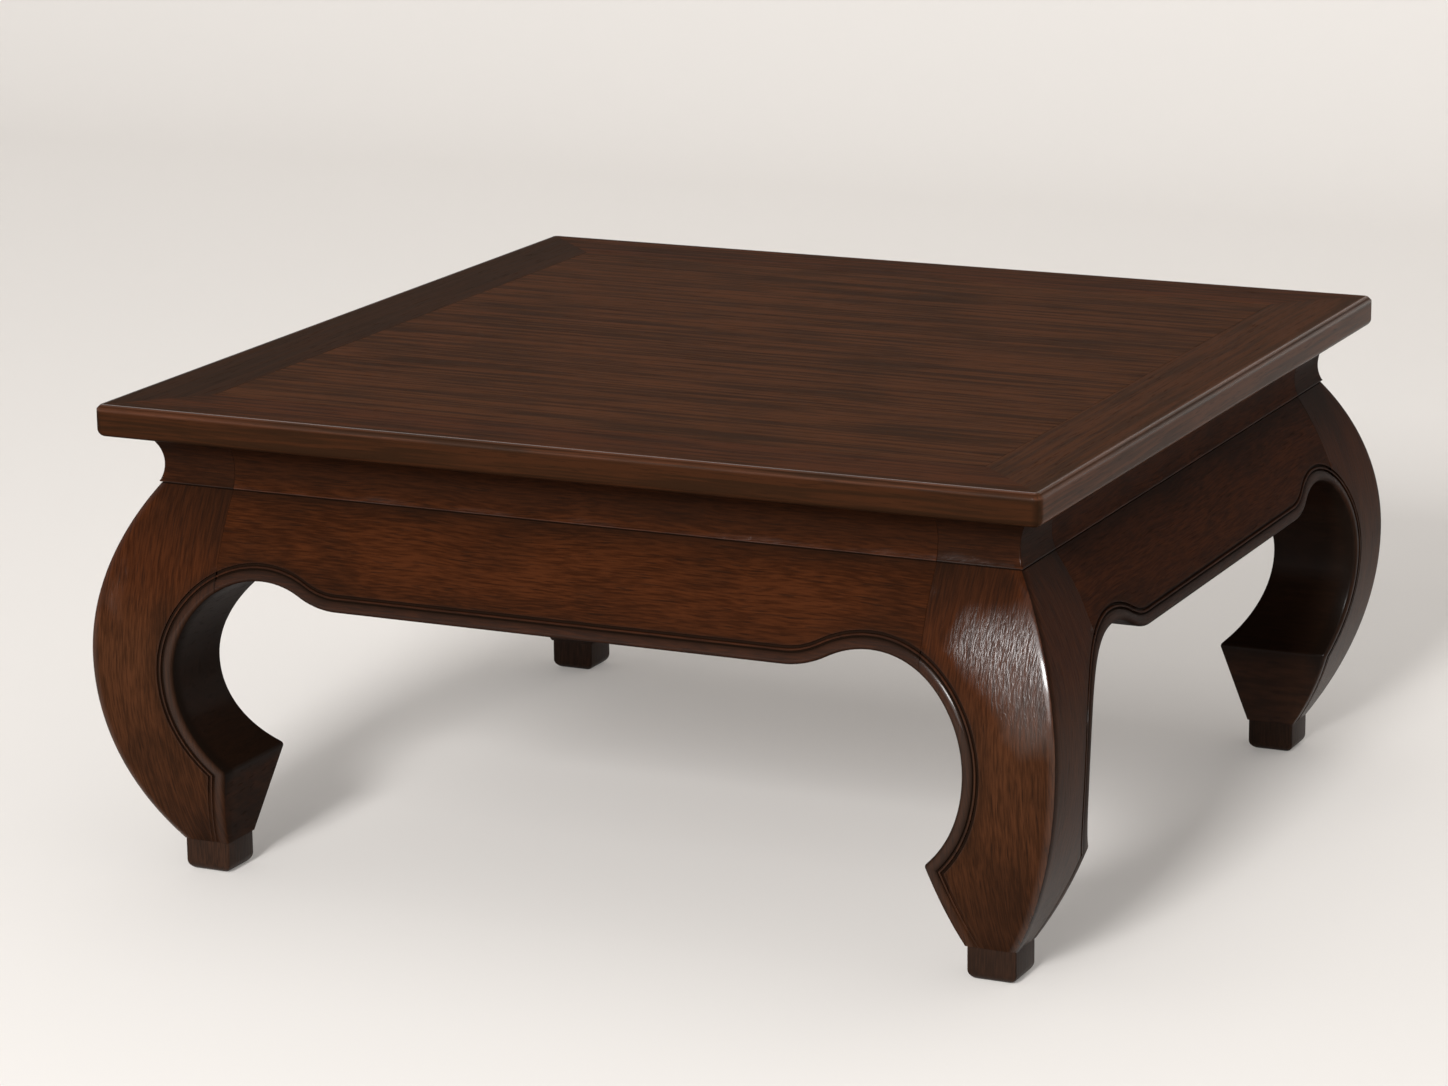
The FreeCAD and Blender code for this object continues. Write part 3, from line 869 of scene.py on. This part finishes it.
def two_rails():
    """The front and the left rail, sawn from the slab along the mitres."""
    slab = top_slab()
    near_corner = (-top_half_width, -top_half_depth, 0)
    front = sawn(copied(slab), (0, rail_width - top_half_depth, 0), (0, 1, 0))
    front = sawn(front, near_corner, (-1, 1, 0))
    front = sawn(front, (top_half_width, -top_half_depth, 0), (1, 1, 0))
    left = sawn(slab, (rail_width - top_half_width, 0, 0), (1, 0, 0))
    left = sawn(left, near_corner, (1, -1, 0))
    left = sawn(left, (-top_half_width, top_half_depth, 0), (1, 1, 0))
    rail_coats(front, front_rail_coats)
    rail_coats(left, side_rail_coats)
    return closed(front), closed(left)


# Block feet

def whole_foot():
    """A square block, well rounded below, with slightly eased arrises up its corners."""
    foot = block(foot_low, foot_high)
    centre = (foot_low + foot_high) / 2

    def on_corner(place):
        return abs(abs(place.x - centre.x) - abs(place.y - centre.y)) < near

    def up_corner(one, two):
        return on_corner(one) and on_corner(two) and one.z < two.z - near

    eased_edges(foot, lambda one, two: two.z < foot_low.z + near, foot_round_radius, round_steps)
    eased_edges(foot, up_corner, foot_arris_radius, arris_steps)
    return closed(coated(foot, [foot_coat] * len(foot.data.vertices)))


# Materials

class Wire:
    """One output of a finish's nodes; sums and products of it add Math nodes."""

    def __init__(self, finish, socket):
        self.finish = finish
        self.socket = socket

    def maths(self, operation, first, second):
        return self.finish.node("ShaderNodeMath", {"operation": operation}, {0: first, 1: second})

    def __add__(self, other):
        return self.maths("ADD", self, other)

    def __radd__(self, other):
        return self.maths("ADD", other, self)

    def __sub__(self, other):
        return self.maths("SUBTRACT", self, other)

    def __rsub__(self, other):
        return self.maths("SUBTRACT", other, self)

    def __mul__(self, other):
        return self.maths("MULTIPLY", self, other)

    def __rmul__(self, other):
        return self.maths("MULTIPLY", other, self)

    def __abs__(self):
        return self.maths("ABSOLUTE", self, 0)


class Finish:
    """A material under construction, with one method that adds any node."""

    def __init__(self, name):
        self.material = bpy.data.materials.new(name)
        self.material.use_nodes = True
        self.tree = self.material.node_tree
        self.tree.nodes.clear()

    def node(self, kind, settings, inputs, output=0):
        made = self.tree.nodes.new(kind)
        for name, value in settings.items():
            setattr(made, name, value)
        for key, value in inputs.items():
            if isinstance(value, Wire):
                self.tree.links.new(value.socket, made.inputs[key])
            else:
                made.inputs[key].default_value = value
        return Wire(self, made.outputs[output]) if made.outputs else None

    def mix(self, share, first, second):
        """A colour between two others."""
        return self.node("ShaderNodeMix", {"data_type": "RGBA"}, {0: share, 6: first, 7: second}, 2)

    def between(self, value, low, high):
        """Nought below a low value, one above a high one, and a smooth rise between."""
        inputs = {"Value": value, "From Min": low, "From Max": high}
        return self.node("ShaderNodeMapRange", {"interpolation_type": "SMOOTHSTEP"}, inputs)

    def noise(self, place, stretch, detail, distortion=0):
        """A cloudy value, with its coordinates stretched per axis."""
        spread = self.node("ShaderNodeMapping", {}, {"Vector": place, "Scale": stretch})
        inputs = {"Vector": spread, "Scale": 1, "Detail": detail, "Distortion": distortion}
        return self.node("ShaderNodeTexNoise", {}, inputs)

    def coat(self, name):
        """The share of a coat that a piece carries."""
        return self.node("ShaderNodeAttribute", {"attribute_name": name}, {}, "Fac")

    def lacquer(self, colour, roughness, level, normal):
        """A coloured surface under a clear coat of some roughness and strength of reflection."""
        inputs = {"Base Color": colour, "Roughness": roughness, "Specular IOR Level": level}
        return self.node("ShaderNodeBsdfPrincipled", {}, {**inputs, **normal})

    def relief(self, strength, distance, height):
        """The normal of a surface with a fine relief."""
        inputs = {"Strength": strength, "Distance": distance, "Height": height}
        return self.node("ShaderNodeBump", {}, inputs)

    def blend(self, share, first, second):
        """A surface between two others."""
        return self.node("ShaderNodeMixShader", {}, {0: share, 1: first, 2: second})


# Grain: the turn that lays it along a piece
grain_across = (0, 0, 0)
grain_deep = (0, 0, -math.pi / 2)
grain_upright = (0, math.pi / 2, 0)

# Figure of the wood: how far the grain drifts, how often it changes along and across, per metre,
# the share of each change in the tone, and the tones between which the colour turns warm
broad_figure = {
    "drift": (0, 0.005, 0.005),
    "bands": (1.6, 60, 60),
    "streaks": (5, 190, 190),
    "fibres": (12, 430, 430),
    "shares": (0.10, 0.44, 0.36),
    "range": (0.44, 0.56),
}
short_figure = {
    "drift": (0, 0.012, 0.012),
    "bands": (5, 45, 45),
    "streaks": (24, 400, 400),
    "fibres": (60, 800, 800),
    "shares": (0.10, 0.24, 0.56),
    "range": (0.38, 0.62),
}
pore_stretch = (45, 900, 900)
cloud_stretch = (14, 22, 22)
curl_stretch = (90, 420, 420)

# How ragged each change is, how the grain wanders, and how far it differs from leg to leg
grain_detail = 3
pore_detail = 1
curl_detail = 2
curl_distortion = 1.2
drift_rate = 7
drift_detail = 2
leg_drift_share = 0.05

# Shares of clouds, dark veins, pores and the coat of painted shade and grime, and the values between
# which the darker ones come in
cloud_share = 0.10
cloud_mean = 0.5
vein_shares = (0.5, 0.5)
vein_range = (0.54, 0.36)
vein_share = 0.12
patch_range = (0.50, 0.34)
pore_range = (0.60, 0.72)
pore_share = 0.5
shade_and_grime_share = 0.92

# Relief and gloss of the satin, of the rippled polish and of the smooth gleam
relief_shares = (0.55, 0.45, -0.5)
relief_height = 0.0006
roughness_shares = (0.10, 0.12)
curl_height = 0.0006
curl_strength = 0.9
polish_range = (0.35, 0.85)
polish_cloud_share = 0.9
polish_roughness = 0.31
polish_level = 0.42
gleam_roughness = 0.16
gleam_level = 0.30

# Levels between which a leg's stain changes
head_range = (0.19, 0.27)


def along(turn):
    """Coordinates with the grain turned along a straight piece."""

    def turned_grain(wood):
        place = wood.node("ShaderNodeTexCoord", {}, {}, "Object")
        return wood.node("ShaderNodeMapping", {}, {"Vector": place, "Rotation": turn})

    return turned_grain


def leg_grain(wood):
    """Coordinates with the grain up the faces of a leg, and level in its piece of the waist."""
    place = wood.node("ShaderNodeTexCoord", {}, {}, "Object")
    split = [wood.node("ShaderNodeSeparateXYZ", {}, {0: place}, axis) for axis in range(3)]
    across, deep, level = split
    side_in = base_half_width - abs(across)
    end_in = base_half_depth - abs(deep)
    face_place = side_in.maths("MAXIMUM", side_in, end_in)
    leg_place = leg_drift_share * (across + deep + deep)
    upright = wood.node("ShaderNodeCombineXYZ", {}, {0: level, 1: face_place, 2: leg_place})
    girth = abs(across) + abs(deep)
    lying = wood.node("ShaderNodeCombineXYZ", {}, {0: girth, 1: level})
    on_waist = wood.between(level, apron_top - near, apron_top + near)
    return wood.node("ShaderNodeMix", {"data_type": "VECTOR"}, {0: on_waist, 4: upright, 5: lying}, 1)


def even(colours):
    """A stain that is the same all over."""
    return lambda wood: colours


def towards_head(low, high):
    """A stain that turns into another one towards the head of a leg."""

    def mixed(wood):
        place = wood.node("ShaderNodeTexCoord", {}, {}, "Object")
        level = wood.node("ShaderNodeSeparateXYZ", {}, {0: place}, 2)
        share = wood.between(level, *head_range)
        return [wood.mix(share, first, second) for first, second in zip(low, high)]

    return mixed


def grain_pattern(wood, grain, figure):
    """The values that the figure of the wood is made of."""
    run = grain(wood)
    drift_inputs = {"Vector": run, "Scale": drift_rate, "Detail": drift_detail}
    drift = wood.node("ShaderNodeTexNoise", {}, drift_inputs, "Color")
    sway_inputs = {0: drift, 1: figure["drift"], 2: run}
    sway = wood.node("ShaderNodeVectorMath", {"operation": "MULTIPLY_ADD"}, sway_inputs)
    return {
        "bands": wood.noise(sway, figure["bands"], grain_detail),
        "streaks": wood.noise(sway, figure["streaks"], grain_detail),
        "fibres": wood.noise(sway, figure["fibres"], grain_detail),
        "pores": wood.between(wood.noise(sway, pore_stretch, pore_detail), *pore_range),
        "curls": wood.noise(sway, curl_stretch, curl_detail, curl_distortion),
        "clouds": wood.noise(run, cloud_stretch, grain_detail),
    }


def wood_colour(wood, pattern, stain, figure, patch_share):
    """The stain's body, warmer along the grain, darker in veins, patches and pores, and darker still
    where its coat lays on painted shade.
    """
    dark, body, warm = stain(wood)
    bands, streaks, clouds = pattern["bands"], pattern["streaks"], pattern["clouds"]
    band_share, streak_share, fibre_share = figure["shares"]
    tone = band_share * bands + streak_share * streaks
    tone = tone + fibre_share * pattern["fibres"] + cloud_share * clouds
    colour = wood.mix(wood.between(tone, *figure["range"]), body, warm)
    veins = vein_shares[0] * bands + vein_shares[1] * streaks
    colour = wood.mix(wood.between(veins, *vein_range) * vein_share, colour, dark)
    colour = wood.mix(wood.between(clouds, *patch_range) * patch_share, colour, dark)
    colour = wood.mix(pattern["pores"] * pore_share, colour, dark)
    # The darkening coat mixes in the dark tone: mostly painted shade
    return wood.mix(wood.coat("shade_and_grime") * shade_and_grime_share, colour, dark)


def lacquered_wood(name, grain, stain, sheen, figure):
    """Stained wood under satin lacquer, rubbed up to a rippled polish or a smooth gleam in places."""
    wood = Finish(name)
    roughness, specular, relief_strength, patch_share = sheen
    pattern = grain_pattern(wood, grain, figure)
    fibres, streaks, pores = pattern["fibres"], pattern["streaks"], pattern["pores"]
    colour = wood_colour(wood, pattern, stain, figure, patch_share)
    height = relief_shares[0] * fibres + relief_shares[1] * streaks + relief_shares[2] * pores
    grain_relief = wood.relief(relief_strength, relief_height, height)
    curl_relief = wood.relief(curl_strength, curl_height, pattern["curls"])
    satin_roughness = roughness + roughness_shares[0] * fibres + roughness_shares[1] * pores
    satin = wood.lacquer(colour, satin_roughness, specular, {"Normal": grain_relief})
    polished = wood.lacquer(colour, polish_roughness, polish_level, {"Normal": curl_relief})
    gleaming = wood.lacquer(colour, gleam_roughness, gleam_level, {})
    patchy = wood.coat("polish") + polish_cloud_share * (pattern["clouds"] - cloud_mean)
    shader = wood.blend(wood.between(patchy, *polish_range), satin, polished)
    shader = wood.blend(wood.coat("gleam"), shader, gleaming)
    wood.node("ShaderNodeOutputMaterial", {}, {"Surface": shader})
    return wood.material


# Stains: the dark, the body and the warm tone of each
top_stain = ((0.017, 0.0084, 0.0043, 1), (0.028, 0.0113, 0.0045, 1), (0.064, 0.0222, 0.0082, 1))
front_rail_stain = ((0.014, 0.0064, 0.0032, 1), (0.027, 0.0108, 0.0046, 1), (0.058, 0.0184, 0.0069, 1))
# The side rails' stain is lighter, as painted light on the edges at the sides of the top
side_rail_stain_with_painted_light = ((0.016, 0.0080, 0.0042, 1), (0.039, 0.0166, 0.0076, 1), (0.069, 0.0246, 0.0102, 1))
side_stain = ((0.0075, 0.0042, 0.0027, 1), (0.021, 0.0060, 0.0021, 1), (0.043, 0.0122, 0.0040, 1))
leg_stain = ((0.0075, 0.0042, 0.0027, 1), (0.026, 0.0096, 0.0040, 1), (0.050, 0.0178, 0.0074, 1))
foot_stain = ((0.009, 0.0050, 0.0032, 1), (0.016, 0.0074, 0.0041, 1), (0.028, 0.0122, 0.0066, 1))
bare_stain = ((0.08, 0.045, 0.026, 1), (0.16, 0.095, 0.055, 1), (0.22, 0.14, 0.085, 1))

# Sheens: roughness, specular level, strength of the grain's relief, and share of dark patches
top_sheen = (0.45, 0.004, 0.15, 0.10)
side_sheen = (0.40, 0.006, 0.2, 0.22)
leg_sheen = (0.40, 0.012, 0.25, 0.26)
foot_sheen = (0.40, 0.05, 0.25, 0.30)
bare_sheen = (0.65, 0.2, 0.2, 0.10)

panel_wood = lacquered_wood(
    "panel_wood", along(grain_across), even(top_stain), top_sheen, broad_figure
)
rail_across = lacquered_wood(
    "rail_wood_across", along(grain_across), even(front_rail_stain), top_sheen, broad_figure
)
rail_deep = lacquered_wood(
    "rail_wood_deep", along(grain_deep), even(side_rail_stain_with_painted_light), top_sheen, broad_figure
)
side_across = lacquered_wood(
    "side_wood_across", along(grain_across), even(side_stain), side_sheen, short_figure
)
side_deep = lacquered_wood(
    "side_wood_deep", along(grain_deep), even(side_stain), side_sheen, short_figure
)
leg_upright = lacquered_wood(
    "leg_wood", leg_grain, towards_head(leg_stain, side_stain), leg_sheen, short_figure
)
foot_upright = lacquered_wood(
    "foot_wood", along(grain_upright), even(foot_stain), foot_sheen, short_figure
)
bare_across = lacquered_wood(
    "bare_wood_across", along(grain_across), even(bare_stain), bare_sheen, short_figure
)
bare_deep = lacquered_wood(
    "bare_wood_deep", along(grain_deep), even(bare_stain), bare_sheen, short_figure
)

# Pieces in their places

middle = (0, 0, 0)
over_sides = (-1, 1, 1)
over_ends = (1, -1, 1)
to_corners = {
    "front_left": (1, 1, 1),
    "front_right": over_sides,
    "back_left": over_ends,
    "back_right": (-1, -1, 1),
}


def in_corners(first, kind, material):
    """A piece of the front left corner and its copies in the other three."""
    pieces = {}
    for corner, scale in to_corners.items():
        piece = flipped(copied(first), scale, middle)
        stands_for(piece, kind + "_" + corner, material)
        pieces[corner] = piece
    take(first)
    bpy.ops.object.delete()
    return pieces


def on_sides(front, left, kind, across, deep):
    """A front piece and a left piece, and their copies at the back and right."""
    back = flipped(copied(front), over_ends, middle)
    right = flipped(copied(left), over_sides, middle)
    for piece, side in ((front, "front"), (back, "back")):
        stands_for(piece, kind + "_" + side, across)
    for piece, side in ((left, "left"), (right, "right")):
        stands_for(piece, kind + "_" + side, deep)


def two_sides(maker):
    """A front piece, and a left piece turned over the diagonal, in their places."""
    front = moved(maker(base_half_width), base_corner)
    left = moved(closed(crossed(maker(base_half_depth))), base_corner)
    return front, left


legs = in_corners(whole_leg(), "leg", leg_upright)
for corner, leg in legs.items():
    lowered(leg, "polish", leg_polish_shares[corner])
in_corners(whole_foot(), "foot", foot_upright)
front_apron, left_apron = two_sides(whole_apron)
lowered(left_apron, "gleam", side_gleam_share)
on_sides(front_apron, left_apron, "apron", side_across, side_deep)
front_waist, left_waist = two_sides(whole_waist)
lowered(left_waist, "polish", side_polish_share)
lowered(left_waist, "gleam", side_gleam_share)
# The side waist boards carry less painted shade
lowered(left_waist, "shade_and_grime", side_waist_shade_share)
on_sides(front_waist, left_waist, "waist", side_across, side_deep)
front_rail, left_rail = two_rails()
on_sides(front_rail, left_rail, "top_frame", rail_across, rail_deep)
# The left rail is darker all over
dulled(left_rail, left_rail_darkening)

for name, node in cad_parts.items():
    if name.startswith("panel_board"):
        finish = panel_wood
    elif name.startswith("panel_batten"):
        finish = bare_deep
    elif name.endswith("_pegs"):
        finish = bare_across
    else:
        continue
    for material_slot in node.material_slots:
        material_slot.material = finish

# Studio: a sweep of pale paper, three lamps and the light of the air
studio_half_width = 7.0
studio_front = -6.0
studio_back = 2.8
sweep_radius = 1.5
studio_height = 4.5
sweep_steps = 16
paper_colour = (0.81, 0.776, 0.742, 1)
paper_glow_share = 0.22
key_place = (0.25, -4.75, 2.28)
key_target = (-0.6, 0, 0.25)
key_size = (1.28, 3.6)
key_power = 101
beam_place = (0.8, -9.2, 4.3)
beam_target = (-0.3, 0, 0.2)
beam_size = (1.8, 1.8)
beam_power = 930
roof_place = (0, 0.1, 3.2)
roof_target = (0, 0, 0)
roof_size = (1.8, 1.8)
roof_power = 8
air_colour = (1, 0.985, 0.965, 1)
air_strength = 0.50


def studio_sweep():
    """A pale floor that sweeps up into a wall behind the table."""
    profile = [(studio_front, 0)]
    for angle in spaced(0, math.pi / 2, sweep_steps):
        deep = studio_back + sweep_radius * math.sin(angle)
        profile.append((deep, sweep_radius * (1 - math.cos(angle))))
    profile.append((studio_back + sweep_radius, studio_height))
    rows = []
    for deep, level in profile:
        rows.append([(Vector((side * studio_half_width, deep, level)), plain_coat) for side in (-1, 1)])
    sweep = laid_grid(rows)
    sweep.name = "studio_sweep"
    take(sweep)
    bpy.ops.object.shade_smooth()
    sweep.data.materials.append(studio_paper())


def studio_paper():
    """Pale paper that partly glows to the eye, so that shadows on it stay light; clear from behind."""
    paper = Finish("studio_paper")
    lit = paper.node("ShaderNodeBsdfDiffuse", {}, {"Color": paper_colour})
    glow = paper.node("ShaderNodeEmission", {}, {"Color": paper_colour, "Strength": 1})
    straight = paper.node("ShaderNodeLightPath", {}, {}, "Is Camera Ray")
    mirrored = paper.node("ShaderNodeLightPath", {}, {}, "Is Glossy Ray")
    through = paper.node("ShaderNodeLightPath", {}, {}, "Is Transmission Ray")
    seen = paper_glow_share * (straight + mirrored + through)
    behind = paper.node("ShaderNodeNewGeometry", {}, {}, "Backfacing")
    clear = paper.node("ShaderNodeBsdfTransparent", {}, {})
    shader = paper.blend(behind, paper.blend(seen, lit, glow), clear)
    paper.node("ShaderNodeOutputMaterial", {}, {"Surface": shader})
    return paper.material


def soft_box(name, place, target, size, power):
    """A rectangular lamp that faces a target."""
    lamp = bpy.data.lights.new(name, "AREA")
    lamp.shape = "RECTANGLE"
    lamp.size, lamp.size_y = size
    lamp.energy = power
    lamp_object = bpy.data.objects.new(name, lamp)
    lamp_object.location = place
    lamp_object.rotation_euler = (Vector(target) - Vector(place)).to_track_quat("-Z", "Y").to_euler()
    bpy.context.scene.collection.objects.link(lamp_object)


studio_sweep()
soft_box("key_light", key_place, key_target, key_size, key_power)
soft_box("beam_light", beam_place, beam_target, beam_size, beam_power)
soft_box("roof_light", roof_place, roof_target, roof_size, roof_power)

air = bpy.data.worlds.new("studio_air")
bpy.context.scene.world = air
air.use_nodes = True
air.node_tree.nodes["Background"].inputs["Color"].default_value = air_colour
air.node_tree.nodes["Background"].inputs["Strength"].default_value = air_strength

# Camera, as the photograph was taken: its film is in millimetres, its turns are in radians
image_width = 1448
focal_pixels = 4641.1
camera_place = (1.5705, -3.4276, 1.1789)
camera_turn = 0.43900
camera_dip = 0.24703
camera_roll = -0.01180
film_width = 36.0
sight_end = 60

camera_data = bpy.data.cameras.new("camera")
camera_data.sensor_width = film_width
camera_data.lens = film_width * focal_pixels / image_width
camera_data.clip_end = sight_end
camera = bpy.data.objects.new("camera", camera_data)
bpy.context.scene.collection.objects.link(camera)
turned = Matrix.Rotation(camera_turn, 4, "Z") @ Matrix.Rotation(math.pi / 2 - camera_dip, 4, "X")
camera.matrix_world = Matrix.Translation(camera_place) @ turned @ Matrix.Rotation(camera_roll, 4, "Z")
bpy.context.scene.camera = camera
bpy.context.scene.view_settings.view_transform = "Standard"

start_fresh()
